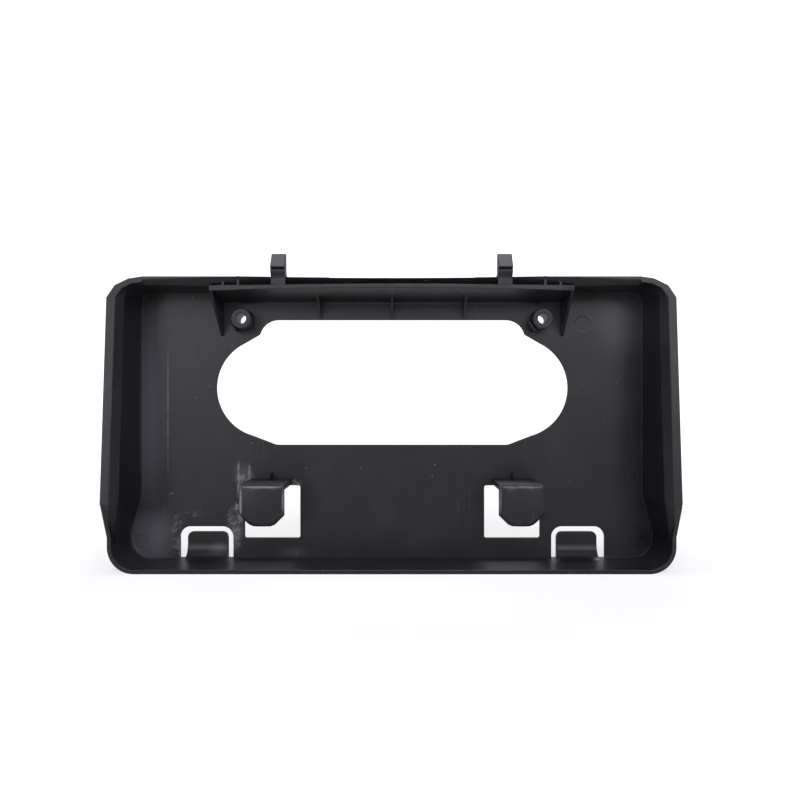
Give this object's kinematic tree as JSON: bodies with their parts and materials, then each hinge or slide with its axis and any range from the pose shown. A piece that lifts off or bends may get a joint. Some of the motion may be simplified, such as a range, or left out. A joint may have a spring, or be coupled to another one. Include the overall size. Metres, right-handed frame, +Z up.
{
  "type": "number plate holder",
  "caption": "Moulded plastic front number plate holder: a shallow tray with a flared lip, a long middle opening, screw bosses, a ribbed shelf and snap hooks.",
  "frame": {"origin": "midway between the two plate screw holes, on the flat face that the number plate lies against", "axes": "+Z up as fitted to the car, +Y out of the plate face towards the reader of the plate, -Y into the bumper, X across the holder"},
  "size_m": [0.32, 0.042, 0.1808],
  "materials": {
    "black_plastic": "black moulded plastic with a soft satin sheen and light handling marks"
  },
  "bodies": {
    "root": {"plate_holder": "black_plastic"}
  },
  "joints": []
}
